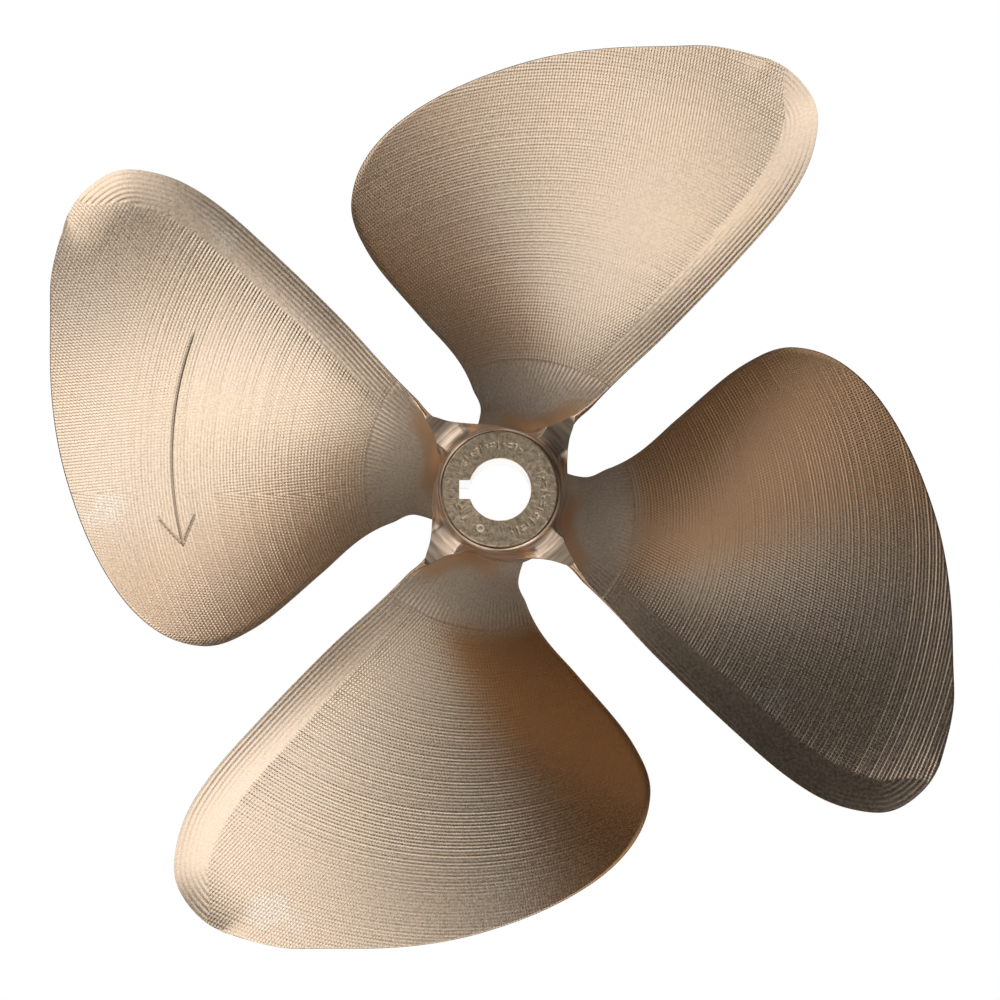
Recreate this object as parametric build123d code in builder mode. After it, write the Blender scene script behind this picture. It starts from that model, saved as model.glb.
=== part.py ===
from build123d import *

import os
from math import atan2, cos, degrees, exp, hypot, pi, radians, sin, sqrt, tan

os.makedirs("parts", exist_ok=True)

# A four-blade inboard boat propeller, milled from one bronze casting.
# Z is the shaft axis and the aft end is up. The forward end of the hub stands on z = 0.
# The propeller is left-handed: seen from aft it drives ahead when it turns anticlockwise.

INCH = 25.4
BLADE_COUNT = 4

# ---- driving dimensions, mm ----
DIAMETER = 17 * INCH
PITCH = 15.4 * INCH
RAKE = 0.135                       # rise towards aft for each millimetre of radius
HUB_LENGTH = 3.5 * INCH
TIP_RADIUS = DIAMETER / 2

# ---- bore for a 1 1/4 inch shaft with the standard 1:16 taper ----
BORE_AFT_RADIUS = 1.03 * INCH / 2
BORE_TAPER = 1 / 32                # growth of the radius for each millimetre forward
BORE_FORWARD_RADIUS = BORE_AFT_RADIUS + BORE_TAPER * HUB_LENGTH
BORE_CHAMFER = 1.0
KEYWAY_WIDTH = 5 / 16 * INCH
KEYWAY_DEPTH = 5 / 32 * INCH
KEYWAY_DIRECTION = 180

# ---- hub outside ----
BOSS_RADIUS = 24.6
BOSS_HEIGHT = 2.6
BOSS_CHAMFER = 0.7
SHOULDER_RADIUS = 26.6
SHOULDER_ROUND = 1.8
HUB_FORWARD_RADIUS = 35.0
HUB_FORWARD_CHAMFER = 2.0

# ---- blade outline: edge angles from the blade's reference line, at fractions of the tip radius ----
# Each row is (fraction, trailing edge angle, leading edge angle). Angles grow anticlockwise seen from aft.
# The first two rows are the fillets where the edges widen into the hub.
EDGE_STATIONS = [
    (0.155, -41.0, 33.0),
    (0.17, -37.0, 29.0),
    (0.19, -33.8, 26.4),
    (0.25, -32.8, 28.6),
    (0.4375, -32.1, 38.1),
    (0.64, -31.1, 43.2),
    (0.75, -30.4, 41.5),
    (0.84, -29.1, 32.7),
    (0.91, -27.0, 13.0),
    (0.96, -24.5, -3.7),
    (0.99, -20.8, -10.7),
]
TIP_ANGLE = -16.9
OUTLINE_POINTS = 17                # along each edge, spaced closer towards the round tip

# ---- blade section ----
REFERENCE_RADIUS = 140.0           # the pressure face crosses REFERENCE_HEIGHT here, on the reference line
REFERENCE_HEIGHT = HUB_LENGTH - 28.3
ROOT_THICKNESS = 13.0
TIP_THICKNESS = 3.4
EDGE_THICKNESS = 2.0
TIP_TAPER_WIDTH = 50.0             # near the tip the blade thins to its edge over this width
CUP_HEIGHT = 2.2                   # lift of the trailing edge towards aft
CUP_WIDTH = 24.0
CUP_INNER_RADIUS = 55.0            # the cup fades in between these two radii
CUP_OUTER_RADIUS = 110.0
CUP_FULL_ANGLE = -19.0             # past the tip the cup fades out between these two angles
CUP_END_ANGLE = 0.0
ROOT_FILLET = 8.0
ROOT_FILLET_RISE = 5.0
ROOT_END_GAP = 2.5                 # at the hub the blade stays this far inside the hub's two ends
ROOT_LEAST_DEPTH = 6.0             # and its two faces stay at least this far apart
ROOT_SOFTNESS = 5.0                # height over which the face levels off before that limit
ROOT_LIMIT_RADIUS = 42.0           # beyond this radius the blade may rise above the hub

# ---- where each blade's reference line points ----
FIRST_BLADE_DIRECTION = 75
BLADE_STEP = 360 / BLADE_COUNT

# ---- sections across the blade, square to its reference line, from inside the hub to past the tip ----
SECTION_COUNT = 14
SECTION_FIRST = 20.0
SECTION_LAST = 220.0
SECTION_CROWDING = 1.3             # more than 1 crowds the sections towards the hub
SECTION_POINTS = 17
SECTION_MARGIN = 6.0
SECTION_LOW_ANGLE = 37.0
SECTION_HIGH_ANGLE = 45.0
PRISM_INNER = 20.0
PRISM_BOTTOM = -20
PRISM_HEIGHT = 160

def edge_angles(radius):
    """Trailing and leading edge angles in degrees, on a smooth curve through the stations."""
    rows = EDGE_STATIONS + [(1.0, TIP_ANGLE, TIP_ANGLE)]
    places = [-sqrt(1 - row[0]) for row in rows]
    place = -sqrt(max(1 - radius / TIP_RADIUS, 0.0))
    place = min(max(place, places[0]), 0.0)
    last = len(rows) - 1
    i = max(k for k in range(last) if places[k] <= place)
    span = places[i + 1] - places[i]
    share = (place - places[i]) / span
    found = []
    for column in (1, 2):
        values = [row[column] for row in rows]
        before = max(i - 1, 0)
        after = min(i + 2, last)
        start_slope = (values[i + 1] - values[before]) / (places[i + 1] - places[before]) * span
        end_slope = (values[after] - values[i]) / (places[after] - places[i]) * span
        if i == last - 1:
            # both edges run into the tip as one smooth curve
            end_slope = (EDGE_STATIONS[-1][2] - EDGE_STATIONS[-1][1]) / 2 * (1 if column == 1 else -1)
        rise = values[i + 1] - values[i]
        cubic = start_slope + end_slope - 2 * rise
        square = 3 * rise - 2 * start_slope - end_slope
        found.append(values[i] + share * (start_slope + share * (square + share * cubic)))
    return found


def fade(value, start, end):
    """Smooth step from 0 at start to 1 at end."""
    share = min(max((value - start) / (end - start), 0.0), 1.0)
    return share * share * (3 - 2 * share)


def hub_radius(height):
    """Outside radius of the hub's cone at a height."""
    share = height / (HUB_LENGTH - BOSS_HEIGHT)
    return HUB_FORWARD_RADIUS + share * (SHOULDER_RADIUS - HUB_FORWARD_RADIUS)


def root_flare(radius, height):
    """How far the root fillet lifts the blade's surface away from its middle at a radius."""
    outside = max(radius - hub_radius(height), 0.0)
    return ROOT_FILLET_RISE * max(1 - outside / ROOT_FILLET, 0.0) ** 2


def outline_points():
    """Points round the blade, from the trailing edge's root over the tip to the leading edge's root."""
    root_place = sqrt(1 - EDGE_STATIONS[0][0])
    trailing = []
    leading = []
    for i in range(OUTLINE_POINTS):
        radius = TIP_RADIUS * (1 - (root_place * (1 - i / OUTLINE_POINTS)) ** 2)
        low, high = edge_angles(radius)
        trailing.append((radius * cos(radians(low)), radius * sin(radians(low))))
        leading.append((radius * cos(radians(high)), radius * sin(radians(high))))
    tip = (TIP_RADIUS * cos(radians(TIP_ANGLE)), TIP_RADIUS * sin(radians(TIP_ANGLE)))
    return trailing + [tip] + leading[::-1]


OUTLINE = outline_points()
CUPPED_EDGE = OUTLINE[:OUTLINE_POINTS + 1]


def distance_inside(points, x, y):
    """Distance from (x, y) to a chain of points, negative on the chain's right, outside the blade."""
    nearest = None
    for (x0, y0), (x1, y1) in zip(points, points[1:]):
        along_x, along_y = x1 - x0, y1 - y0
        share = ((x - x0) * along_x + (y - y0) * along_y) / (along_x ** 2 + along_y ** 2)
        share = min(max(share, 0.0), 1.0)
        off_x, off_y = x - x0 - share * along_x, y - y0 - share * along_y
        distance = hypot(off_x, off_y)
        if nearest is None or distance < abs(nearest):
            side = along_x * off_y - along_y * off_x
            nearest = distance if side >= 0 else -distance
    return nearest


def helix_height(x, y):
    """Height of the helical pressure face with its rake and its cupped trailing edge."""
    radius = hypot(x, y)
    angle = atan2(y, x)
    height = REFERENCE_HEIGHT - PITCH / (2 * pi) * angle + RAKE * (radius - REFERENCE_RADIUS)
    cup = max(1 - distance_inside(CUPPED_EDGE, x, y) / CUP_WIDTH, 0.0)
    cup = cup ** 2 if cup < 1 else 2 * cup - 1
    cup *= fade(radius, CUP_INNER_RADIUS, CUP_OUTER_RADIUS)
    return height + CUP_HEIGHT * cup * fade(degrees(angle), CUP_END_ANGLE, CUP_FULL_ANGLE)


def level_off(height, limit):
    """Follow height up to a limit, easing into it over ROOT_SOFTNESS."""
    excess = height - (limit - ROOT_SOFTNESS)
    if excess <= 0:
        return height
    return limit - ROOT_SOFTNESS * exp(-excess / ROOT_SOFTNESS)


def keep_on_hub(radius, height, above, below):
    """Hold the blade's root between the two ends of the hub, and let it go again further out."""
    room = TIP_RADIUS * fade(radius, ROOT_LIMIT_RADIUS, TIP_RADIUS)
    highest = HUB_LENGTH - BOSS_HEIGHT - ROOT_END_GAP - above + room
    lowest = ROOT_END_GAP + below - room
    return -level_off(-level_off(height, highest), -lowest)


def pressure_height(x, y):
    """Height of the aft (pressure) face above z = 0."""
    radius = hypot(x, y)
    height = helix_height(x, y)
    return keep_on_hub(radius, height + root_flare(radius, height), 0, ROOT_LEAST_DEPTH)


def suction_height(x, y):
    """Height of the forward (suction) face above z = 0."""
    radius = hypot(x, y)
    trailing, leading = edge_angles(radius)
    taper_width = max(radius * radians(leading - trailing) / 2, TIP_TAPER_WIDTH * fade(radius, 100, 160))
    thinning = min(max(1 - distance_inside(OUTLINE, x, y) / taper_width, 0.0), 1.0)
    span_share = min(max((radius - HUB_FORWARD_RADIUS) / (TIP_RADIUS - HUB_FORWARD_RADIUS), 0.0), 1.0)
    middle = ROOT_THICKNESS + (TIP_THICKNESS - ROOT_THICKNESS) * span_share ** 0.8
    thickness = EDGE_THICKNESS + (middle - EDGE_THICKNESS) * (1 - thinning ** 2)
    slant = hypot(1.0, PITCH / (2 * pi * radius))
    height = helix_height(x, y) - thickness * slant
    return keep_on_hub(radius, height - root_flare(radius, height), ROOT_LEAST_DEPTH, 0)


# ---- hub blank: the turned outside, solid right through ----
with BuildPart() as hub_blank:
    with BuildSketch(Plane.XZ):
        with BuildLine():
            Polyline(
                (0, 0),
                (HUB_FORWARD_RADIUS - HUB_FORWARD_CHAMFER, 0),
                (hub_radius(HUB_FORWARD_CHAMFER), HUB_FORWARD_CHAMFER),
                (hub_radius(HUB_LENGTH - BOSS_HEIGHT - SHOULDER_ROUND), HUB_LENGTH - BOSS_HEIGHT - SHOULDER_ROUND),
                (SHOULDER_RADIUS - SHOULDER_ROUND / 2, HUB_LENGTH - BOSS_HEIGHT),
                (BOSS_RADIUS, HUB_LENGTH - BOSS_HEIGHT),
                (BOSS_RADIUS, HUB_LENGTH - BOSS_CHAMFER),
                (BOSS_RADIUS - BOSS_CHAMFER, HUB_LENGTH),
                (0, HUB_LENGTH),
                close=True,
            )
        make_face()
    revolve(axis=Axis.Z)

# ---- what is cut out of the hub: the tapered bore, its two chamfers and the keyway ----
with BuildPart() as bore_tool:
    with BuildSketch(Plane.XZ):
        with BuildLine():
            Polyline(
                (0, 0),
                (BORE_FORWARD_RADIUS + BORE_CHAMFER, 0),
                (BORE_FORWARD_RADIUS - BORE_TAPER * BORE_CHAMFER, BORE_CHAMFER),
                (BORE_AFT_RADIUS + BORE_TAPER * BORE_CHAMFER / 2, HUB_LENGTH - BORE_CHAMFER / 2),
                (BORE_AFT_RADIUS + BORE_CHAMFER / 2, HUB_LENGTH),
                (0, HUB_LENGTH),
                close=True,
            )
        make_face()
    revolve(axis=Axis.Z)

# The keyway's floor runs at the taper's slope, one key depth outside the bore.
with BuildPart() as keyway_tool:
    with BuildSketch(Plane.XZ):
        with BuildLine():
            Polyline(
                (0, 0),
                (BORE_FORWARD_RADIUS + KEYWAY_DEPTH, 0),
                (BORE_AFT_RADIUS + KEYWAY_DEPTH, HUB_LENGTH),
                (0, HUB_LENGTH),
                close=True,
            )
        make_face()
    extrude(amount=KEYWAY_WIDTH / 2, both=True)

with BuildPart() as hub:
    add(hub_blank.part)
    add(bore_tool.part, mode=Mode.SUBTRACT)
    add(keyway_tool.part.rotate(Axis.Z, KEYWAY_DIRECTION), mode=Mode.SUBTRACT)
hub.part.label = "hub"
export_step(hub.part, "parts/hub.step")

# ---- one blade, with its reference line along +X: a twisted slab, cut to the outline, less the hub ----
with BuildPart() as blade_slab:
    for section in range(SECTION_COUNT):
        share = (section / (SECTION_COUNT - 1)) ** SECTION_CROWDING
        distance = SECTION_FIRST + (SECTION_LAST - SECTION_FIRST) * share
        widest = sqrt((TIP_RADIUS + 2 * SECTION_MARGIN) ** 2 - distance ** 2)
        low = -min(distance * tan(radians(SECTION_LOW_ANGLE)) + SECTION_MARGIN, widest)
        high = min(distance * tan(radians(SECTION_HIGH_ANGLE)) + SECTION_MARGIN, widest)
        across = [low + (high - low) * i / (SECTION_POINTS - 1) for i in range(SECTION_POINTS)]
        upper = [(y, pressure_height(distance, y)) for y in across]
        lower = [(y, suction_height(distance, y)) for y in across]
        with BuildSketch(Plane.YZ.offset(distance)):
            with BuildLine():
                Spline(*upper)
                Line(upper[-1], lower[-1])
                Spline(*lower[::-1])
                Line(lower[0], upper[0])
            make_face()
    loft()

with BuildPart() as blade_outline:
    leading_root = (PRISM_INNER, PRISM_INNER * tan(radians(EDGE_STATIONS[0][2])))
    trailing_root = (PRISM_INNER, PRISM_INNER * tan(radians(EDGE_STATIONS[0][1])))
    with BuildSketch(Plane.XY.offset(PRISM_BOTTOM)):
        with BuildLine():
            Spline(*OUTLINE)
            Line(OUTLINE[-1], leading_root)
            Line(leading_root, trailing_root)
            Line(trailing_root, OUTLINE[0])
        make_face()
    extrude(amount=PRISM_HEIGHT)

with BuildPart() as blade_shape:
    add(blade_slab.part)
    add(blade_outline.part, mode=Mode.INTERSECT)
    add(hub_blank.part, mode=Mode.SUBTRACT)

for number in range(BLADE_COUNT):
    name = f"blade_{number + 1}"
    with BuildPart() as blade:
        add(blade_shape.part.rotate(Axis.Z, FIRST_BLADE_DIRECTION + number * BLADE_STEP))
    blade.part.label = name
    export_step(blade.part, f"parts/{name}.step")
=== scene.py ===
import math

import bpy
import numpy as np
from mathutils import Matrix, Vector


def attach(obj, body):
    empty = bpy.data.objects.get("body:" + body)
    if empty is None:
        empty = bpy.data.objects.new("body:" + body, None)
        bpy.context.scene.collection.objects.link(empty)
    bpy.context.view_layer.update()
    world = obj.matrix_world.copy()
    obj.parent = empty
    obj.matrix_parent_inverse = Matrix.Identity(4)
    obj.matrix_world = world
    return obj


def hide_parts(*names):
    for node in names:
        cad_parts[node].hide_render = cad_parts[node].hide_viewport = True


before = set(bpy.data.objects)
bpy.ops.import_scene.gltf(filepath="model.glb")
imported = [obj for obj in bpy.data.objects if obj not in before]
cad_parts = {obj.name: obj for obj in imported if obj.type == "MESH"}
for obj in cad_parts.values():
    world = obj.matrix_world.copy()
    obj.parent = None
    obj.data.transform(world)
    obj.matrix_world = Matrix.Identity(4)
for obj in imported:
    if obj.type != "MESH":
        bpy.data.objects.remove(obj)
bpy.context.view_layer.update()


MM = 0.001
INCH = 25.4

# ---- the propeller's driving sizes in mm ----
TIP_RADIUS = 17 * INCH / 2
PITCH = 15.4 * INCH
RISE_PER_RADIAN = PITCH / (2 * math.pi)
RAKE = 0.135
HUB_LENGTH = 3.5 * INCH
REFERENCE_RADIUS = 140.0
REFERENCE_HEIGHT = HUB_LENGTH - 28.3
BORE_AFT_RADIUS = 1.03 * INCH / 2
BORE_TAPER = 1 / 32
KEYWAY_WIDTH = 5 / 16 * INCH
KEYWAY_DEPTH = 5 / 32 * INCH
BOSS_RADIUS = 24.6
BOSS_HEIGHT = 2.6
BOSS_CHAMFER = 0.7
SHOULDER_RADIUS = 26.6
SHOULDER_ROUND = 1.8
SHOULDER_HEIGHT = HUB_LENGTH - BOSS_HEIGHT - SHOULDER_ROUND
HUB_FORWARD_RADIUS = 35.0
HUB_FORWARD_CHAMFER = 2.0
FIRST_BLADE_DIRECTION = 75.0
BLADE_COUNT = 4

# ---- blade outline: (fraction of the tip radius, trailing edge angle, leading edge angle) ----
EDGE_STATIONS = [
    (0.100, -72.0, 52.0),
    (0.125, -60.0, 45.0),
    (0.140, -50.0, 41.0),
    (0.155, -42.0, 35.5),
    (0.17, -37.5, 31.3),
    (0.19, -34.2, 27.6),
    (0.25, -32.8, 28.6),
    (0.4375, -32.1, 38.1),
    (0.64, -31.1, 43.2),
    (0.75, -30.4, 41.5),
    (0.84, -29.1, 32.7),
    (0.91, -27.0, 13.0),
    (0.96, -24.5, -3.7),
    (0.99, -20.8, -10.7),
]
TIP_ANGLE = -16.9
# Near the hub the pressure face ends inside the trailing edge, where the hub's fillet runs up to it:
# (radius, degrees between the two)
FACE_INSET = [
    (22.0, 56.0),
    (27.0, 48.0),
    (29.0, 42.0),
    (31.5, 30.0),
    (35.0, 15.6),
    (38.5, 9.4),
    (42.0, 5.4),
    (47.0, 2.4),
    (58.0, 0.7),
    (75.0, 0.25),
    (100.0, 0.0),
    (216.0, 0.0),
]

# ---- blade section ----
ROOT_THICKNESS = 13.0
TIP_THICKNESS = 3.4
EDGE_THICKNESS = 2.0
TIP_TAPER_WIDTH = 50.0
CUP_HEIGHT = 2.4
CUP_WIDTH = 17.0
NOSE_BULGE = 0.45
ROOT_FILLET = 9.0
ROOT_FILLET_RISE = 6.0
# Near the hub the blade's back drops this much further at the trailing edge, fading over these radii.
WALL_DROP = 5.0
WALL_DROP_FADE = (30.0, 75.0)
# The root keeps this gap to both ends of the hub and this least depth, and eases into both.
ROOT_END_GAP = 2.5
ROOT_LEAST_DEPTH = 6.0
ROOT_SOFTNESS = 5.0
ROOT_LIMIT_RADIUS = 42.0
# The cup grows over these radii, and fades over these degrees as the outline rounds the tip.
CUP_GROWTH = (52.0, 100.0)
CUP_FADE = (-22.0, -8.0)

# ---- the hub's shoulder runs out into a corner that meets each trailing edge ----
# (degrees from the blade's middle line, how far out the shoulder reaches)
SHOULDER_REACH = [
    (-90.0, 30.6),
    (-64.0, 30.6),
    (-55.0, 31.1),
    (-48.0, 32.6),
    (-42.4, 34.8),
    (-37.2, 38.3),
    (-33.0, 42.9),
    (-30.9, 45.0),
    (-29.8, 45.6),
    (-28.8, 44.2),
    (-27.5, 41.2),
    (-25.8, 38.2),
    (-23.6, 35.4),
    (-20.4, 33.5),
    (-17.4, 32.1),
    (-13.0, 29.8),
    (-10.0, 29.5),
    (-6.0, 30.2),
    (0.0, 30.6),
]
CORNER_HEIGHT = 79.0
CORNER_COVE = 13.0                 # reach of the cove between the corner and the boss
CORNER_EDGE = 0.4                  # rounding of the corner's rim
CORNER_WALL = 3.0                  # upright side below the rim
CORNER_BLEND = 26.0                # height over which the corner melts into the hub's side
CONE_END_HEIGHT = 44.0

# ---- marks on the hub's aft face ----
PUNCH_RADIUS = 18.9
PUNCH_DEPTH = 0.3
BRIGHT_MARK_DIRECTION = 243.0

# ---- how finely the meshes are divided ----
BLADE_START_RADIUS = 22.0          # inside the hub, where the root is closed
ROOT_ZONE_RINGS = 58
RINGS_PER_RIDGE = 4
ACROSS_STEPS = 112
ARROW_STEPS = 38
BACK_STEPS = 22
WALL_STEPS = 7
HUB_COLUMNS = 720
AFT_FACE_RINGS = 54
SHOULDER_RINGS = 30

# ---- milling marks ----
RIDGE_PITCH = 1.45
RIDGE_HEIGHT = 0.065
RIDGE_HEIGHT_AT_BAND = 0.10
RIDGE_GAIN_AT_TIP = 0.9
ROOT_ZONE_RADIUS = 63.0
ROOT_ZONE_STEP = 0.12
EDGE_BAND_WIDTH = 17.0
EDGE_BAND_END = -19.3
EDGE_BAND_CLOSING = 6.7
EDGE_RIDGE_PITCH = 1.75
EDGE_RIDGE_HEIGHT = 0.21
EDGE_RIDGE_LOSS_AT_TIP = 0.85
BEAD_LENGTH = 1.35
BEAD_HEIGHT = 0.065
ROOT_LINE_DEGREES = 1.75
ROOT_LINE_HEIGHT = 0.10

# ---- what differs from blade to blade, from the first blade on ----
# How strong the brown towards the leading edge is: partly the metal's tint, partly painted shade.
BROWN_AND_SHADE_BY_BLADE = (0.30, 0.20, 0.9, 0.65)
# How many degrees further back from the leading edge the brown tint and painted shade begin.
BROWN_AND_SHADE_SHIFT_BY_BLADE = (0, 0, 0, 14)
# How much of the milling marks is missing in the brown part of tint and painted shade.
SMOOTHED_BY_BLADE = (0.0, 0.0, 0.7, 0.0)
# How deep the ridges are: in general, in the leading half, near the tip, and along the cupped edge.
RIDGES_BY_BLADE = (
    (1.0, 1.1, 0.8, 1.0),
    (1.4, 2.2, 0.2, 0.9),
    (1.3, 1.8, 0.25, 0.55),
    (1.1, 2.4, 1.9, 1.0),
)
# The middle of the border of the brown tint and painted shade lies at these angles in degrees, at these
# radii in mm.
BROWN_AND_SHADE_RADII = (60.0, 94.0, 140.0, 175.0)
BROWN_AND_SHADE_ANGLES = (-8.0, 9.0, 23.0, 25.0)
BROWN_AND_SHADE_BORDER = (-12.0, 8.0)         # degrees to either side of that middle
BROWN_AND_SHADE_START = (55.0, 72.0)          # radii over which the tint sets in

# ---- rotation arrow engraved on one blade: an arc about the shaft with an open head ----
ARROW_BLADE = 2
ARROW_RADIUS = 150.0
ARROW_START, ARROW_END = -12.0, 24.0
ARROW_HEAD_LENGTH = 15.0
ARROW_HEAD_SLANT = 32.0
GROOVE_HALF_WIDTH = 0.75
GROOVE_DEPTH = 0.4

# ---- colours of the metal ----
WARM_BRONZE = (0.88, 0.68, 0.495)
GREY_BRONZE = (0.83, 0.66, 0.515)
RUBBED_SPOT = (0.92, 0.86, 0.78)
ROOT_ZONE_BRONZE = (0.82, 0.71, 0.60)
GRAIN_SHADE = (0.68, 0.54, 0.40)
# brown towards the leading edge: partly the metal's tint, partly painted shade
BROWN_TINT_AND_SHADE = (0.66, 0.34, 0.145)
FILLET_TINT = (0.74, 0.44, 0.23)
GROOVE_SHADE = (0.30, 0.25, 0.19)
# light and dark streaks round the turned side: painted light and painted shade
TURNED_PAINTED_LIGHT = (0.86, 0.67, 0.51)
TURNED_PAINTED_SHADE = (0.42, 0.31, 0.23)
BORE_BRONZE = (0.95, 0.90, 0.84)
BRASS_DARK = (0.54, 0.42, 0.29)
BRASS_LIGHT = (0.98, 0.78, 0.56)
TARNISH = (0.13, 0.10, 0.06)
PUNCH_METAL = (0.80, 0.66, 0.45)
BRIGHT_METAL = (0.98, 0.84, 0.62)

# ---- stage: the floor in mm, the lights in metres ----
FLOOR_HALF_WIDTH = 4000.0
FLOOR_GAP = 2.0
FLOOR_GREY = (0.50, 0.50, 0.50, 1)
BRIGHT_SPOT_RADIUS = 24.0
WHITE = (1.0, 1.0, 1.0, 1)
ROOM_LIGHT = 0.01
LIGHT_DISTANCE = 1.6
LIGHT_SIZE = 1.0
LIGHT_AIM_HEIGHT = 0.05
# Bright from the left round to the lower right, dim from the upper right:
# (name, azimuth and elevation in degrees, power in watts)
SOFT_LIGHTS = [
    ("left_low", 150, 22, 2.6),
    ("upper_left", 122, 45, 3.2),
    ("left", 150, 45, 1.8),
    ("below_low", 240, 22, 2.4),
    ("below", 240, 45, 4.4),
    ("lower_right", 300, 45, 5.1),
    ("right_low", 330, 22, 1.8),
    ("top_low", 75, 22, 1.8),
    ("front", 255, 68, 1.6),
]

# ---- camera ----
TILT_X = math.radians(-1.985)
TILT_Y = math.radians(0.164)
CAMERA_DISTANCE = 488.65
CAMERA_SHIFT = (-0.13, 3.49)
FOCAL_PIXELS = 1093.5
IMAGE_PIXELS = 1000
SENSOR_WIDTH = 36

# Each ridge has a depth of its own, the same on every blade.
rng = np.random.default_rng(7)
RIDGE_STRENGTH = rng.uniform(0.55, 1.35, 400)


def smooth_step(value, start, end):
    share = np.clip((value - start) / (end - start), 0.0, 1.0)
    return share * share * (3 - 2 * share)


def smooth_curve(places, values, at):
    """Cubic curve through the points, with the slope at each point taken from its neighbours."""
    places, values = np.array(places, float), np.array(values, float)
    slopes = np.gradient(values, places)
    at = np.clip(at, places[0], places[-1])
    i = np.clip(np.searchsorted(places, at) - 1, 0, len(places) - 2)
    span = places[i + 1] - places[i]
    share = (at - places[i]) / span
    start, end = slopes[i] * span, slopes[i + 1] * span
    rise = values[i + 1] - values[i]
    squared = 3 * rise - 2 * start - end
    cubed = start + end - 2 * rise
    return values[i] + share * (start + share * (squared + share * cubed))


# One curve from the trailing edge's root over the tip to the leading edge's root.
edge_places = [-math.sqrt(1 - row[0]) for row in EDGE_STATIONS] + [0.0]
edge_places += [math.sqrt(1 - row[0]) for row in reversed(EDGE_STATIONS)]
edge_values = [row[1] for row in EDGE_STATIONS] + [TIP_ANGLE]
edge_values += [row[2] for row in reversed(EDGE_STATIONS)]


def edge_angles(radius):
    """Trailing and leading edge angles in radians."""
    place = np.sqrt(np.clip(1 - radius / TIP_RADIUS, 0.0, 1.0))
    trailing = smooth_curve(edge_places, edge_values, -place)
    leading = smooth_curve(edge_places, edge_values, place)
    return np.radians(trailing), np.radians(leading)


outline_place = np.linspace(-0.9, 0.9, 361)
outline_radius = TIP_RADIUS * (1 - outline_place ** 2)
outline_angle = np.radians(smooth_curve(edge_places, edge_values, outline_place))
OUTLINE = np.stack([outline_radius * np.cos(outline_angle), outline_radius * np.sin(outline_angle)], 1)
CUPPED_EDGE = OUTLINE[:len(OUTLINE) // 2]


def distance_to(chain, x, y):
    """Distance from each point to a chain of points close together."""
    nearest = np.full(x.shape, 1e9)
    for (x0, y0), (x1, y1) in zip(chain[:-1], chain[1:]):
        ax, ay = x1 - x0, y1 - y0
        share = np.clip(((x - x0) * ax + (y - y0) * ay) / (ax * ax + ay * ay), 0.0, 1.0)
        nearest = np.minimum(nearest, np.hypot(x - x0 - share * ax, y - y0 - share * ay))
    return nearest


def hub_radius(height):
    share = np.clip(height / SHOULDER_HEIGHT, 0.0, 1.0)
    return HUB_FORWARD_RADIUS + share * (SHOULDER_RADIUS - HUB_FORWARD_RADIUS)


def helix(radius, angle):
    return REFERENCE_HEIGHT - RISE_PER_RADIAN * angle + RAKE * (radius - REFERENCE_RADIUS)


def root_flare(radius, height):
    outside = np.maximum(radius - hub_radius(height), 0.0)
    return ROOT_FILLET_RISE * np.maximum(1 - outside / ROOT_FILLET, 0.0) ** 2


def level_off(height, limit):
    """Follow height up to a limit, easing into it."""
    excess = height - (limit - ROOT_SOFTNESS)
    eased = limit - ROOT_SOFTNESS * np.exp(-np.maximum(excess, 0) / ROOT_SOFTNESS)
    return np.where(excess <= 0, height, eased)


def keep_on_hub(radius, height, above, below):
    """Hold the blade's root between the two ends of the hub, and let it go again further out."""
    room = TIP_RADIUS * smooth_step(radius, ROOT_LIMIT_RADIUS, TIP_RADIUS)
    highest = HUB_LENGTH - BOSS_HEIGHT - ROOT_END_GAP - above + room
    lowest = ROOT_END_GAP + below - room
    return -level_off(-level_off(height, highest), -lowest)


def mesh_object(name, points, faces, smooth=True):
    mesh = bpy.data.meshes.new(name)
    mesh.from_pydata((np.asarray(points) * MM).tolist(), [], faces)
    mesh.update()
    mesh.validate()
    obj = bpy.data.objects.new(name, mesh)
    bpy.context.scene.collection.objects.link(obj)
    if smooth:
        mesh.shade_smooth()
    return obj


def add_values(obj, name, values):
    attribute = obj.data.attributes.new(name, "FLOAT", "POINT")
    attribute.data.foreach_set("value", np.asarray(values, np.float32))


def groove_distance(radius, angle):
    """Distance from the middle line of the arrow's three strokes."""
    start, end = math.radians(ARROW_START), math.radians(ARROW_END)
    along = np.clip(angle, start, end)
    nearest = np.hypot(radius - ARROW_RADIUS, (angle - along) * radius)
    ahead, out = (angle - end) * ARROW_RADIUS, radius - ARROW_RADIUS
    for side in (-1, 1):
        slant = math.radians(ARROW_HEAD_SLANT)
        back_x, back_y = -math.cos(slant), side * math.sin(slant)
        share = np.clip(ahead * back_x + out * back_y, 0.0, ARROW_HEAD_LENGTH)
        nearest = np.minimum(nearest, np.hypot(ahead - share * back_x, out - share * back_y))
    return nearest


def across_steps():
    """Places across the pressure face, close together at the cupped edge and at the arrow's head."""
    step = np.linspace(0.0, 1.0, ACROSS_STEPS)
    general = 0.12 * step + 0.88 * step ** 2.6
    return np.sort(np.concatenate([general, np.linspace(0.655, 0.765, ARROW_STEPS)]))


def blade_radii():
    """Radii of the blade's rings: even steps in the root zone, and a few to each ridge outside it."""
    inner = np.linspace(BLADE_START_RADIUS, ROOT_ZONE_RADIUS, ROOT_ZONE_RINGS)
    first = math.ceil(ROOT_ZONE_RADIUS / RIDGE_PITCH) * RIDGE_PITCH
    outer = np.arange(first, TIP_RADIUS - 0.05, RIDGE_PITCH / RINGS_PER_RIDGE)
    return np.concatenate([inner, outer, [TIP_RADIUS - 0.01]])


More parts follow.
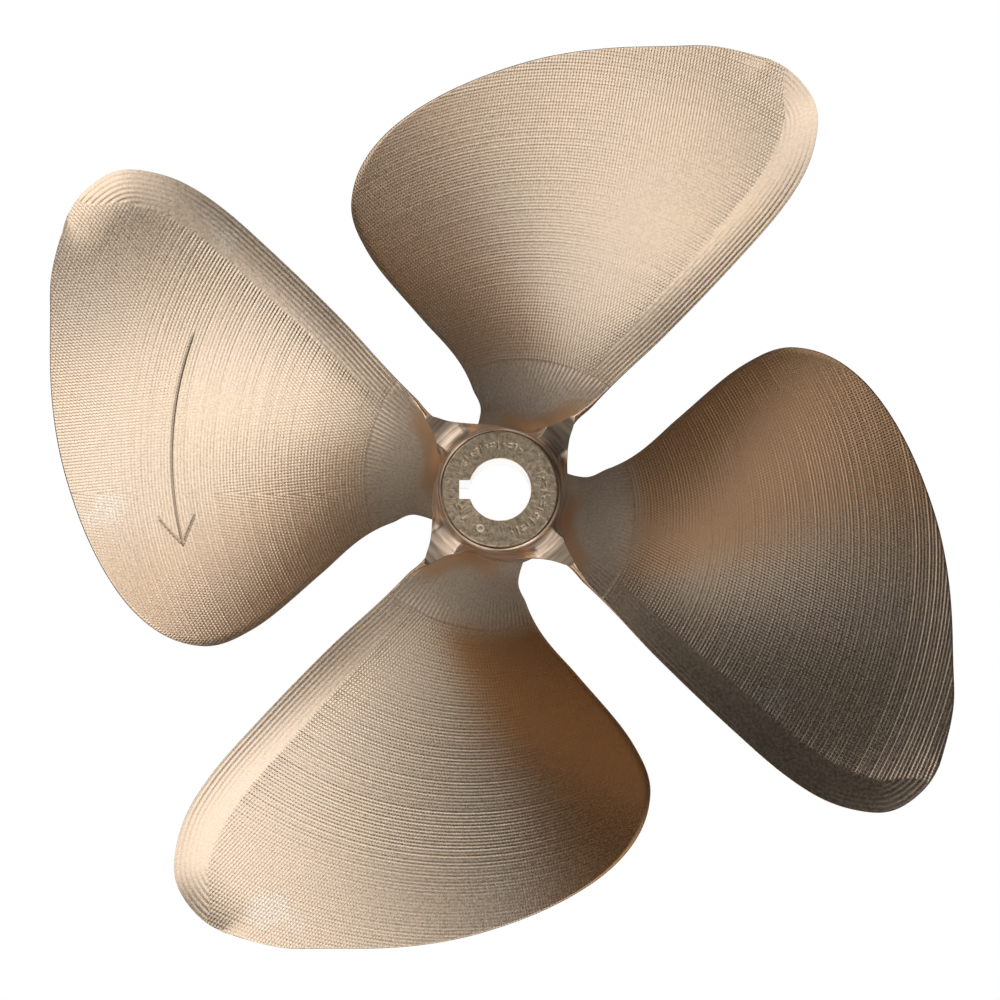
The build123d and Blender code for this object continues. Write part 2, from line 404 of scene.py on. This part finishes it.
def cup_lift(radius, angle, to_cup):
    """How far the cupped trailing edge is lifted."""
    lift = CUP_HEIGHT * np.clip(1 - to_cup / CUP_WIDTH, 0, 1) ** 2
    return lift * smooth_step(radius, *CUP_GROWTH) * (1 - smooth_step(np.degrees(angle), *CUP_FADE))


def band_width(angle):
    """The cupped edge's band keeps one width, and closes at the blade's tip."""
    left = (EDGE_BAND_END - np.degrees(angle)) / EDGE_BAND_CLOSING
    return EDGE_BAND_WIDTH * np.sqrt(np.clip(left, 0.0, 1.0))


def ridge_wave(place, pitch):
    """Round hollows that meet in sharp crests, as a ball cutter leaves them."""
    return 1 - np.abs(np.sin(math.pi * place / pitch))


def ridge_strength(radius):
    """The depth of the ridge at a radius, next to the others."""
    return RIDGE_STRENGTH[np.rint(radius / RIDGE_PITCH).astype(int)]


def outside_root_zone(radius):
    return smooth_step(radius, ROOT_ZONE_RADIUS, ROOT_ZONE_RADIUS + 0.8)


def brown_and_shade_share(number, radius, angle):
    """How far into the brown part towards the leading edge a point lies, 0 to 1: partly the metal's tint,
    partly painted shade.
    """
    degrees = np.degrees(angle)
    middle = np.interp(radius, BROWN_AND_SHADE_RADII, BROWN_AND_SHADE_ANGLES) - BROWN_AND_SHADE_SHIFT_BY_BLADE[number]
    inside = smooth_step(degrees, middle + BROWN_AND_SHADE_BORDER[0], middle + BROWN_AND_SHADE_BORDER[1])
    return inside * smooth_step(radius, *BROWN_AND_SHADE_START)


def milling_marks(number, radius, angle, inside_band, to_cup, milled):
    """Height of the cutter's ridges: arcs about the shaft outside the band, and lines along the band."""
    body, leading_half, tip, edge_lines = RIDGES_BY_BLADE[number]
    depth = body + (leading_half - body) * smooth_step(np.degrees(angle), -5.0, 20.0)
    depth = depth + (tip - depth) * smooth_step(radius, 150.0, 190.0)
    near_band = np.exp(-np.clip(-inside_band, 0, None) / 8.0)
    near_tip = smooth_step(radius, 175.0, 205.0)
    height = RIDGE_HEIGHT * (1 + RIDGE_GAIN_AT_TIP * near_tip) + RIDGE_HEIGHT_AT_BAND * near_band
    height = height * ridge_strength(radius) * depth * milled
    arcs = height * ridge_wave(radius, RIDGE_PITCH)

    on_tip = smooth_step(radius, 165.0, 200.0) * (1 - np.exp(-np.clip(inside_band, 0, None) / 5.0))
    line_height = EDGE_RIDGE_HEIGHT * edge_lines * (1 - EDGE_RIDGE_LOSS_AT_TIP * on_tip)
    return arcs, line_height * ridge_wave(to_cup, EDGE_RIDGE_PITCH)


def fillet_share(x, y, z, radius, angle, radii):
    """How near a point is to the hub or to the pressure face's inner border, 0 to 1."""
    near_root = (radii > 28.0) & (radii < 50.0)
    border = np.stack([x[near_root, 0], y[near_root, 0]], 1)
    away = np.minimum(distance_to(border, x, y), np.maximum(radius - hub_radius(z), 0.0))
    near = 1 - smooth_step(away, ROOT_FILLET - 4.5, ROOT_FILLET + 0.5)
    return near * smooth_step(-np.degrees(angle), -24.0, -6.0) * (1 - smooth_step(radius, 44.0, 56.0))


def pressure_face(number, radii, face_start, leading):
    """Points of the pressure face, from its trailing to its leading border, and its material's values."""
    across = across_steps()
    radius = radii[:, None] + 0 * across[None, :]
    angle = face_start[:, None] + (leading - face_start)[:, None] * across[None, :]
    x, y = radius * np.cos(angle), radius * np.sin(angle)
    to_outline = distance_to(OUTLINE, x, y)
    to_cup = distance_to(CUPPED_EDGE, x, y)

    z = helix(radius, angle)
    flare = root_flare(radius, z)
    z = keep_on_hub(radius, z + flare + cup_lift(radius, angle, to_cup), 0, ROOT_LEAST_DEPTH)

    inside_band = band_width(angle) - to_cup
    band = smooth_step(inside_band, -0.5, 0.5) * smooth_step(radius, 50.0, 75.0)
    milled = 1 - SMOOTHED_BY_BLADE[number] * brown_and_shade_share(number, radius, angle)
    arcs, lines = milling_marks(number, radius, angle, inside_band, to_cup, milled)
    zone = outside_root_zone(radius)
    fade_at_edge = smooth_step(to_outline, 0.0, 0.8)
    z = z + (arcs * zone * (1 - band) + lines * band) * fade_at_edge + ROOT_ZONE_STEP * zone
    mark = np.zeros_like(z)
    if number + 1 == ARROW_BLADE:
        mark = np.clip(1 - groove_distance(radius, angle) / GROOVE_HALF_WIDTH, 0, 1)
        z = z - GROOVE_DEPTH * smooth_step(mark, 0.0, 0.8)
    values = {
        "milled": milled,
        "band": band,
        "root": 1 - zone,
        "fillet": fillet_share(x, y, z, radius, angle, radii),
        "mark": mark,
    }
    return np.stack([x, y, z], 2), values


def blade_thickness(radii, to_outline, trailing, leading):
    """Thickness square to the blade, which falls towards the tip and towards the edges."""
    span_share = np.clip((radii - HUB_FORWARD_RADIUS) / (TIP_RADIUS - HUB_FORWARD_RADIUS), 0, 1)
    middle = ROOT_THICKNESS + (TIP_THICKNESS - ROOT_THICKNESS) * span_share ** 0.8
    half_width = radii * (leading - trailing) / 2
    taper_width = np.maximum(half_width, TIP_TAPER_WIDTH * smooth_step(radii, 100, 160))
    thinning = np.clip(1 - to_outline / np.maximum(taper_width[:, None], 1.0), 0, 1)
    return EDGE_THICKNESS + (middle[:, None] - EDGE_THICKNESS) * (1 - thinning ** 2)


def suction_face(radii, trailing, leading):
    """Points of the suction face, from the leading edge back to the trailing edge."""
    across = np.linspace(1.0, 0.0, BACK_STEPS)
    angle = trailing[:, None] + (leading - trailing)[:, None] * across[None, :]
    radius = radii[:, None] + 0 * angle
    x, y = radius * np.cos(angle), radius * np.sin(angle)
    to_outline = distance_to(OUTLINE, x, y)
    lift = cup_lift(radius, angle, distance_to(CUPPED_EDGE, x, y))
    slant = np.hypot(1.0, RISE_PER_RADIAN / radii)
    thickness = blade_thickness(radii, to_outline, trailing, leading)
    z = helix(radius, angle) + lift - thickness * slant[:, None]
    z = z - root_flare(radius, z)
    wall_drop = WALL_DROP * (1 - smooth_step(radii, *WALL_DROP_FADE))
    z = z - wall_drop[:, None] * (1 - across[None, :]) ** 6
    z = keep_on_hub(radius, z, ROOT_LEAST_DEPTH, 0)
    ridges = RIDGE_HEIGHT * ridge_strength(radius) * ridge_wave(radius, RIDGE_PITCH)
    z = z - ridges * outside_root_zone(radius) * smooth_step(to_outline, 0.0, 1.0)
    return np.stack([x, y, z], 2)


def edge_points(radii, angle, height):
    return np.stack([radii * np.cos(angle), radii * np.sin(angle), height], 1)


def rounded_nose(radii, leading, upper, lower):
    """Two points between the faces that round the leading edge."""
    angle = leading + NOSE_BULGE / radii * np.where(radii < TIP_RADIUS - 1, 1, 0)
    heights = [upper + (lower - upper) * share for share in (0.3, 0.7)]
    return np.stack([edge_points(radii, angle, height) for height in heights], 1)


def trailing_wall(radii, trailing, face_start, lower, upper):
    """The trailing edge's wall, from its foot up to the pressure face."""
    wall = []
    for k in range(1, WALL_STEPS):
        share = k / WALL_STEPS
        lean = 1 - (1 - share) ** 2
        angle = trailing + (face_start - trailing) * (0.35 * share + 0.65 * share ** 2.2)
        wall.append(edge_points(radii, angle, lower + (upper - lower) * lean))
    return np.stack(wall, 1)


def blade_points(number):
    """Rings round the blade section, one for each radius, with the values that its material reads."""
    radii = blade_radii()
    trailing, leading = edge_angles(radii)
    inset = np.radians(np.interp(radii, [row[0] for row in FACE_INSET], [row[1] for row in FACE_INSET]))
    face_start = np.minimum(trailing + inset, leading)
    front, values = pressure_face(number, radii, face_start, leading)
    back = suction_face(radii, trailing, leading)
    nose = rounded_nose(radii, leading, front[:, -1, 2], back[:, 0, 2])
    wall = trailing_wall(radii, trailing, face_start, back[:, -1, 2], front[:, 0, 2])
    rings = np.concatenate([front, nose, back, wall], 1)
    rest = np.zeros((len(radii), rings.shape[1] - front.shape[1]))
    values = {name: np.concatenate([value, rest], 1).ravel() for name, value in values.items()}
    return rings, values


def root_cap(ring, face_count):
    """Triangles that close the blade's root inside the hub, from the pressure face across to the rest."""
    angles = np.arctan2(ring[:, 1], ring[:, 0])
    near = list(range(face_count))
    far = list(range(len(ring) - 1, face_count - 1, -1))
    triangles = []
    i = j = 0
    last_near, last_far = len(near) - 1, len(far) - 1
    while i < last_near or j < last_far:
        along_near = i < last_near and (j == last_far or angles[near[i + 1]] < angles[far[j + 1]])
        if along_near:
            triangles.append((near[i], near[i + 1], far[j]))
            i += 1
        else:
            triangles.append((near[i], far[j + 1], far[j]))
            j += 1
    return triangles


def blade_faces(rings):
    rows, columns = rings.shape[:2]
    faces = root_cap(rings[0], len(across_steps()))
    for i in range(rows - 1):
        a, b = i * columns, (i + 1) * columns
        for j in range(columns):
            k = (j + 1) % columns
            faces.append((a + j, b + j, b + k, a + k))
    last = (rows - 1) * columns
    faces.append(tuple(last + j for j in reversed(range(columns))))
    return faces


def keyway_radius(angle, bore):
    """Inner radius of the hub at an angle, where the keyway is cut out of the bore."""
    off = np.radians(np.abs((np.degrees(angle) % 360) - 180))
    half = KEYWAY_WIDTH / 2
    side = half / np.maximum(np.sin(off), 1e-6)
    floor_of_key = (bore + KEYWAY_DEPTH) / np.maximum(np.cos(off), 0.1)
    in_key = off < math.asin(half / bore)
    return np.where(in_key, np.minimum(side, floor_of_key), bore)


def punch_marks(radius, angle):
    """Plain punched ticks and dots round the aft face, and one small bright ring. Depth shares, 0 to 1."""
    dark = np.zeros_like(radius)
    places = [62 + 7.5 * k for k in range(12)] + [286 + 7.5 * k for k in range(6)]
    places += [-34 + 8 * k for k in range(8)] + [204 + 7 * k for k in range(3)]
    for count, place in enumerate(places):
        turn = (angle - math.radians(place) + math.pi) % (2 * math.pi) - math.pi
        side = turn * PUNCH_RADIUS
        out = radius - PUNCH_RADIUS
        if count % 3 == 0:
            gap = np.hypot(side, out) - 0.55
        elif count % 3 == 1:
            gap = np.hypot(side, np.maximum(np.abs(out) - 1.2, 0)) - 0.36
        else:
            gap = np.hypot(np.maximum(np.abs(side) - 0.7, 0), np.abs(out) - 0.8) - 0.32
        dark = np.maximum(dark, 1 - smooth_step(gap, -0.15, 0.2))
    turn = (angle - math.radians(BRIGHT_MARK_DIRECTION) + math.pi) % (2 * math.pi) - math.pi
    gap = np.abs(np.hypot(turn * PUNCH_RADIUS, radius - PUNCH_RADIUS + 0.4) - 1.3) - 0.4
    bright = 1 - smooth_step(gap, -0.15, 0.2)
    return dark, bright


def shoulder_height(radius, blade_angle):
    """Height of the hub's side outside the boss: its cone, or the flat corner with a cove to the boss."""
    near_boss = np.clip((radius - SHOULDER_RADIUS) / CORNER_COVE, 0, 1)
    cove = 1 - np.sqrt(1 - (1 - near_boss) ** 2)
    flat = CORNER_HEIGHT + smooth_step(radius, 43.5, 47.5)
    corner = flat + (SHOULDER_HEIGHT - flat) * cove
    cone_share = (radius - SHOULDER_RADIUS) / (HUB_FORWARD_RADIUS - SHOULDER_RADIUS)
    cone = np.maximum(SHOULDER_HEIGHT * (1 - cone_share), CONE_END_HEIGHT)
    on_corner = smooth_step(blade_angle, -88.0, -42.0) * (1 - smooth_step(blade_angle, -22.0, 0.0))
    return cone + (corner - cone) * on_corner


def hub_rings():
    """The hub as one closed skin: bore, aft face, boss, shoulder with corners, side and forward face."""
    angle = np.linspace(0, 2 * math.pi, HUB_COLUMNS, endpoint=False)
    rings, face, marks, bright_marks, inside = [], [], [], [], []

    def add(radius, height, on_face=0.0, in_bore=0.0, mark=0.0, bright=0.0):
        radius, height = radius + 0 * angle, height + 0 * angle
        rings.append(np.stack([radius * np.cos(angle), radius * np.sin(angle), height], 1))
        for store, value in ((face, on_face), (inside, in_bore), (marks, mark), (bright_marks, bright)):
            store.append(value + 0 * angle)

    def bore_at(height):
        return keyway_radius(angle, BORE_AFT_RADIUS + BORE_TAPER * (HUB_LENGTH - height))

    add(bore_at(0) + 1.0, 0.0, in_bore=1.0)
    for height in (1.0, 20, 40, 60, 75, 84, HUB_LENGTH - 0.5):
        add(bore_at(height), height, in_bore=1.0)
    start, end = bore_at(HUB_LENGTH) + 0.5, BOSS_RADIUS - BOSS_CHAMFER
    for share in np.linspace(0, 1, AFT_FACE_RINGS):
        radius = start + (end - start) * share
        dark, bright = punch_marks(radius, angle)
        add(radius, HUB_LENGTH - PUNCH_DEPTH * (dark + bright), on_face=1.0, mark=dark, bright=bright)
    add(BOSS_RADIUS - 0.15, HUB_LENGTH - 0.35)
    add(BOSS_RADIUS, HUB_LENGTH - BOSS_CHAMFER)
    add(BOSS_RADIUS, SHOULDER_HEIGHT + SHOULDER_ROUND - 0.9)
    for turn in np.linspace(10, 90, 6):
        a = math.radians(turn)
        radius = SHOULDER_RADIUS - SHOULDER_ROUND * (1 - math.sin(a))
        add(radius, SHOULDER_HEIGHT + SHOULDER_ROUND * math.cos(a))

    blade_angle = (np.degrees(angle) - FIRST_BLADE_DIRECTION) % (360 / BLADE_COUNT) - 360 / BLADE_COUNT
    places, reaches = zip(*SHOULDER_REACH)
    reach = smooth_curve(places, reaches, blade_angle)
    for share in np.linspace(0, 1, SHOULDER_RINGS)[1:]:
        radius = SHOULDER_RADIUS + (reach - SHOULDER_RADIUS) * (1 - (1 - share) ** 1.5)
        height = shoulder_height(radius, blade_angle)
        add(radius, height)
    level = height
    for share in (0.3, 0.7, 1.0):
        add(reach + CORNER_EDGE * math.sin(share * math.pi / 2), level - CORNER_WALL * share)
    for share in (0.15, 0.3, 0.45, 0.6, 0.8, 1.0):
        height = level - CORNER_WALL - CORNER_BLEND * share
        back = share * share * (3 - 2 * share)
        add((reach + CORNER_EDGE) * (1 - back) + hub_radius(height) * back, height)
    lowest = level - (CORNER_WALL + CORNER_BLEND)
    for share in (0.35, 0.7, 1.0):
        height = lowest + (HUB_FORWARD_CHAMFER - lowest) * share
        add(hub_radius(height), height)
    add(HUB_FORWARD_RADIUS - HUB_FORWARD_CHAMFER, 0.0)
    outer = HUB_FORWARD_RADIUS - HUB_FORWARD_CHAMFER
    for share in (0.25, 0.5, 0.75):
        add(outer + (bore_at(0) + 1.0 - outer) * share, 0.0)
    values = {"boss": face, "bore": inside, "punch": marks, "bright": bright_marks}
    return np.stack(rings), {name: np.concatenate(value) for name, value in values.items()}


def hub_faces(rows, columns):
    faces = []
    for i in range(rows):
        a, b = i * columns, ((i + 1) % rows) * columns
        for j in range(columns):
            k = (j + 1) % columns
            faces.append((a + j, b + j, b + k, a + k))
    return faces


def new_material(name):
    material = bpy.data.materials.new(name)
    material.use_nodes = True
    nodes, links = material.node_tree.nodes, material.node_tree.links
    shader = nodes["Principled BSDF"]
    return material, nodes, links, shader


def maths(nodes, links, operation, first, second=None):
    node = nodes.new("ShaderNodeMath")
    node.operation = operation
    for socket, value in zip(node.inputs, (first, second)):
        if value is None:
            continue
        if isinstance(value, (int, float)):
            socket.default_value = value
        else:
            links.new(value, socket)
    return node.outputs[0]


def times(nodes, links, first, second):
    return maths(nodes, links, "MULTIPLY", first, second)


def ramp(nodes, links, factor, stops):
    node = nodes.new("ShaderNodeValToRGB")
    elements = node.color_ramp.elements
    while len(elements) < len(stops):
        elements.new(0.5)
    for element, (place, colour) in zip(elements, stops):
        element.position = place
        element.color = (*colour, 1)
    links.new(factor, node.inputs[0])
    return node.outputs[0]


def mix(nodes, links, factor, first, second):
    node = nodes.new("ShaderNodeMix")
    node.data_type = "RGBA"
    if isinstance(factor, float):
        node.inputs[0].default_value = factor
    else:
        links.new(factor, node.inputs[0])
    for socket, value in ((node.inputs[6], first), (node.inputs[7], second)):
        if isinstance(value, tuple):
            socket.default_value = (*value, 1)
        else:
            links.new(value, socket)
    return node.outputs[2]


def attribute(nodes, name):
    node = nodes.new("ShaderNodeAttribute")
    node.attribute_name = name
    return node.outputs["Fac"]


def noise(nodes, links, vector, scale, detail):
    node = nodes.new("ShaderNodeTexNoise")
    node.inputs["Scale"].default_value = scale
    node.inputs["Detail"].default_value = detail
    links.new(vector, node.inputs["Vector"])
    return node.outputs[0]


def between(nodes, links, value, low, high):
    """0 below low, 1 above high, and a straight rise between."""
    node = nodes.new("ShaderNodeMapRange")
    node.inputs["From Min"].default_value = low
    node.inputs["From Max"].default_value = high
    links.new(value, node.inputs["Value"])
    return node.outputs[0]


def combine(nodes, links, x, y, z):
    node = nodes.new("ShaderNodeCombineXYZ")
    for socket, value in zip(node.inputs, (x, y, z)):
        if value is not None:
            links.new(value, socket)
    return node.outputs[0]


def polar(nodes, links):
    """The point itself, its distance from the shaft in mm, its angle and its height."""
    where = nodes.new("ShaderNodeTexCoord").outputs["Object"]
    split = nodes.new("ShaderNodeSeparateXYZ")
    links.new(where, split.inputs[0])
    x, y, z = split.outputs
    squares = maths(nodes, links, "ADD", times(nodes, links, x, x), times(nodes, links, y, y))
    radius = times(nodes, links, maths(nodes, links, "SQRT", squares), 1 / MM)
    return where, radius, maths(nodes, links, "ARCTAN2", y, x), z


def add_bump(nodes, links, height, distance, below=None):
    node = nodes.new("ShaderNodeBump")
    node.inputs["Strength"].default_value = 1.0
    node.inputs["Distance"].default_value = distance * MM
    links.new(height, node.inputs["Height"])
    if below is not None:
        links.new(below, node.inputs["Normal"])
    return node.outputs[0]


def blade_colour(nodes, links, where, grain):
    """Bright bronze in broad warm and grey areas, with pale rubbed spots, a dark grain, and brown towards
    the leading edges that is partly the metal's tint and partly painted shade.
    """
    root, fillet = attribute(nodes, "root"), attribute(nodes, "fillet")
    brown_and_shade, mark = attribute(nodes, "brown_and_shade"), attribute(nodes, "mark")
    cloud = noise(nodes, links, where, 15.0, 2.0)
    colour = mix(nodes, links, between(nodes, links, cloud, 0.35, 0.65), WARM_BRONZE, GREY_BRONZE)
    spots = between(nodes, links, noise(nodes, links, where, 31.0, 1.5), 0.70, 0.76)
    colour = mix(nodes, links, times(nodes, links, spots, 0.5), colour, RUBBED_SPOT)
    colour = mix(nodes, links, times(nodes, links, root, 0.35), colour, ROOT_ZONE_BRONZE)
    colour = mix(nodes, links, between(nodes, links, grain, 0.60, 0.36), colour, GRAIN_SHADE)
    # brown towards the leading edge, stronger on some blades: partly the metal's tint, partly painted shade
    colour = mix(nodes, links, brown_and_shade, colour, BROWN_TINT_AND_SHADE)
    colour = mix(nodes, links, times(nodes, links, fillet, 0.8), colour, FILLET_TINT)
    return mix(nodes, links, times(nodes, links, mark, 0.75), colour, GROOVE_SHADE)


def blade_surface(nodes, links, radius, angle, grain):
    """Fine relief: beads along each ridge, lines that run out from the hub in the root zone, and grain."""
    band, root = attribute(nodes, "band"), attribute(nodes, "root")
    # each ridge's beads are set over by half a bead from the next ridge's
    ridge = maths(nodes, links, "ROUND", maths(nodes, links, "DIVIDE", radius, RIDGE_PITCH))
    turns = times(nodes, links, times(nodes, links, angle, ridge), RIDGE_PITCH / BEAD_LENGTH)
    turns = maths(nodes, links, "ADD", turns, times(nodes, links, ridge, 0.5))
    bead = maths(nodes, links, "SINE", times(nodes, links, turns, 2 * math.pi))
    plain = maths(nodes, links, "MAXIMUM", band, root)
    on_face = times(nodes, links, attribute(nodes, "milled"), maths(nodes, links, "SUBTRACT", 1.0, plain))
    surface = add_bump(nodes, links, times(nodes, links, bead, on_face), BEAD_HEIGHT / 2)
    spokes = times(nodes, links, angle, math.pi / math.radians(ROOT_LINE_DEGREES))
    spokes = maths(nodes, links, "ABSOLUTE", maths(nodes, links, "SINE", spokes))
    outer = times(nodes, links, between(nodes, links, radius, 38.0, 60.0), root)
    surface = add_bump(nodes, links, times(nodes, links, spokes, outer), -ROOT_LINE_HEIGHT, surface)
    return add_bump(nodes, links, grain, 0.018, surface)


def blade_material():
    material, nodes, links, shader = new_material("blade_bronze")
    shader.inputs["Metallic"].default_value = 1.0
    where, radius, angle, _ = polar(nodes, links)
    grain = noise(nodes, links, where, 900.0, 2.0)
    links.new(blade_colour(nodes, links, where, grain), shader.inputs["Base Color"])
    rough = ramp(nodes, links, grain, [(0.3, (0.33,) * 3), (0.7, (0.40,) * 3)])
    links.new(rough, shader.inputs["Roughness"])
    links.new(blade_surface(nodes, links, radius, angle, grain), shader.inputs["Normal"])
    return material


def turned_side(nodes, links, radius, angle, z, bore):
    """Turned and polished side with streaks round it, painted as light and shade in its colour, and a
    brighter bore: its colour and its streaks, which also set the side's bump.
    """
    drawn_in = times(nodes, links, radius, MM)
    along = times(nodes, links, maths(nodes, links, "SUBTRACT", z, drawn_in), 420.0)
    streak_place = combine(nodes, links, times(nodes, links, angle, 1.6), None, along)
    streaks = noise(nodes, links, streak_place, 1.0, 3.0)
    # the streaks paint light and shade into the side's colour
    side = mix(nodes, links, between(nodes, links, streaks, 0.38, 0.62), TURNED_PAINTED_LIGHT, TURNED_PAINTED_SHADE)
    return mix(nodes, links, bore, side, BORE_BRONZE), streaks


def aft_face(nodes, links, radius, angle, blotch):
    """Olive brass under green-black tarnish, scratched outwards from the bore: its colour and scratches."""
    punch, bright = attribute(nodes, "punch"), attribute(nodes, "bright")
    around, out = times(nodes, links, angle, 42.0), times(nodes, links, radius, 0.16)
    scratches = noise(nodes, links, combine(nodes, links, around, out, None), 1.0, 4.0)
    brass = mix(nodes, links, between(nodes, links, scratches, 0.35, 0.65), BRASS_DARK, BRASS_LIGHT)
    dirt = maths(nodes, links, "ADD", blotch, times(nodes, links, scratches, 0.5))
    tarnish = between(nodes, links, dirt, 0.66, 0.94)
    face = mix(nodes, links, times(nodes, links, tarnish, 0.75), brass, TARNISH)
    face = mix(nodes, links, times(nodes, links, punch, 0.45), face, PUNCH_METAL)
    return mix(nodes, links, bright, face, BRIGHT_METAL), scratches


def hub_material():
    material, nodes, links, shader = new_material("hub_bronze")
    where, radius, angle, z = polar(nodes, links)
    boss, bore = attribute(nodes, "boss"), attribute(nodes, "bore")
    blotch = noise(nodes, links, where, 450.0, 6.0)
    side, streaks = turned_side(nodes, links, radius, angle, z, bore)
    face, scratches = aft_face(nodes, links, radius, angle, blotch)
    links.new(mix(nodes, links, boss, side, face), shader.inputs["Base Color"])

    worn = ramp(nodes, links, blotch, [(0.35, (0.36,) * 3), (0.65, (0.60,) * 3)])
    rough = mix(nodes, links, boss, (0.40,) * 3, worn)
    links.new(mix(nodes, links, bore, rough, (0.12,) * 3), shader.inputs["Roughness"])
    shader.inputs["Metallic"].default_value = 1.0

    surface = add_bump(nodes, links, times(nodes, links, scratches, boss), 0.16)
    surface = add_bump(nodes, links, times(nodes, links, blotch, boss), 0.25, surface)
    smooth_side = maths(nodes, links, "SUBTRACT", 1.0, maths(nodes, links, "MAXIMUM", boss, bore))
    surface = add_bump(nodes, links, times(nodes, links, streaks, smooth_side), 0.10, surface)
    links.new(surface, shader.inputs["Normal"])
    return material


def add_blade(number, material):
    rings, values = blade_points(number)
    turn = math.radians(FIRST_BLADE_DIRECTION + number * 360 / BLADE_COUNT)
    flat = rings.reshape(-1, 3)
    turned = np.stack([
        flat[:, 0] * math.cos(turn) - flat[:, 1] * math.sin(turn),
        flat[:, 0] * math.sin(turn) + flat[:, 1] * math.cos(turn),
        flat[:, 2],
    ], 1)
    blade = mesh_object(f"milled_blade_{number + 1}", turned, blade_faces(rings))
    for name, value in values.items():
        add_values(blade, name, value)
    away, angle = np.hypot(flat[:, 0], flat[:, 1]), np.arctan2(flat[:, 1], flat[:, 0])
    # strength of the brown towards the leading edge, blade by blade: partly tint, partly painted shade
    add_values(blade, "brown_and_shade", brown_and_shade_share(number, away, angle) * BROWN_AND_SHADE_BY_BLADE[number])
    blade.data.materials.append(material)
    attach(blade, "root")
    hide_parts(f"blade_{number + 1}")


def add_hub(material):
    rings, values = hub_rings()
    hub = mesh_object("turned_hub", rings.reshape(-1, 3), hub_faces(*rings.shape[:2]))
    for name, value in values.items():
        add_values(hub, name, value)
    hub.data.set_sharp_from_angle(angle=math.radians(35))
    hub.data.materials.append(material)
    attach(hub, "root")
    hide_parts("hub")


def floor_material():
    """White to the camera and grey to the metal, with a spot under the bore that glows white to every ray,
    no lamp, and that the bore's wall mirrors.
    """
    material, nodes, links, shader = new_material("floor_white")
    shader.inputs["Base Color"].default_value = FLOOR_GREY
    shader.inputs["Roughness"].default_value = 0.9
    glow = nodes.new("ShaderNodeEmission")
    glow.inputs["Color"].default_value = WHITE
    glow.inputs["Strength"].default_value = 1.0
    seen = nodes.new("ShaderNodeLightPath").outputs["Is Camera Ray"]
    _, from_shaft, _, _ = polar(nodes, links)
    # under the bore the floor glows white to every ray: a glowing spot, no lamp, that lights the bore's
    # wall and shows in it
    under_bore = maths(nodes, links, "LESS_THAN", from_shaft, BRIGHT_SPOT_RADIUS)
    choose = nodes.new("ShaderNodeMixShader")
    links.new(maths(nodes, links, "MAXIMUM", seen, under_bore), choose.inputs[0])
    links.new(shader.outputs[0], choose.inputs[1])
    links.new(glow.outputs[0], choose.inputs[2])
    links.new(choose.outputs[0], nodes["Material Output"].inputs[0])
    return material


def add_floor():
    far = FLOOR_HALF_WIDTH
    floor = mesh_object("floor", [(-far, -far, 0), (far, -far, 0), (far, far, 0), (-far, far, 0)],
                        [(0, 1, 2, 3)], smooth=False)
    floor.location.z = -FLOOR_GAP * MM
    floor.data.materials.append(floor_material())


def add_world():
    """The camera sees white beyond the floor's edge, and the metal sees a dim room."""
    world = bpy.data.worlds.new("studio")
    bpy.context.scene.world = world
    world.use_nodes = True
    nodes, links = world.node_tree.nodes, world.node_tree.links
    dim = nodes["Background"]
    dim.inputs[0].default_value = WHITE
    dim.inputs[1].default_value = ROOM_LIGHT
    white = nodes.new("ShaderNodeBackground")
    white.inputs[0].default_value = WHITE
    choose = nodes.new("ShaderNodeMixShader")
    links.new(nodes.new("ShaderNodeLightPath").outputs["Is Camera Ray"], choose.inputs[0])
    links.new(dim.outputs[0], choose.inputs[1])
    links.new(white.outputs[0], choose.inputs[2])
    links.new(choose.outputs[0], nodes["World Output"].inputs[0])


def soft_light(name, azimuth, elevation, power):
    light = bpy.data.lights.new(name, "AREA")
    light.shape = "DISK"
    light.size = LIGHT_SIZE
    light.energy = power
    obj = bpy.data.objects.new(name, light)
    bpy.context.scene.collection.objects.link(obj)
    a, e = math.radians(azimuth), math.radians(elevation)
    place = Vector((math.cos(a) * math.cos(e), math.sin(a) * math.cos(e), math.sin(e))) * LIGHT_DISTANCE
    obj.location = place + Vector((0, 0, LIGHT_AIM_HEIGHT))
    obj.rotation_euler = (-place).to_track_quat("-Z", "Y").to_euler()


def add_camera():
    to_camera = Matrix.Rotation(TILT_X, 3, "X") @ Matrix.Rotation(TILT_Y, 3, "Y")
    from_camera = to_camera.transposed()
    data = bpy.data.cameras.new("camera")
    data.sensor_width = SENSOR_WIDTH
    data.lens = FOCAL_PIXELS / IMAGE_PIXELS * SENSOR_WIDTH
    data.clip_start = 0.01
    camera = bpy.data.objects.new("camera", data)
    bpy.context.scene.collection.objects.link(camera)
    place = from_camera @ Vector((-CAMERA_SHIFT[0], -CAMERA_SHIFT[1], CAMERA_DISTANCE))
    place.z += REFERENCE_HEIGHT
    camera.matrix_world = Matrix.Translation(place * MM) @ from_camera.to_4x4()
    bpy.context.scene.camera = camera


blade_bronze = blade_material()
hub_bronze = hub_material()
for number in range(BLADE_COUNT):
    add_blade(number, blade_bronze)
add_hub(hub_bronze)
add_floor()
add_world()
for name, azimuth, elevation, power in SOFT_LIGHTS:
    soft_light(name, azimuth, elevation, power)
add_camera()
bpy.context.scene.view_settings.view_transform = "Standard"
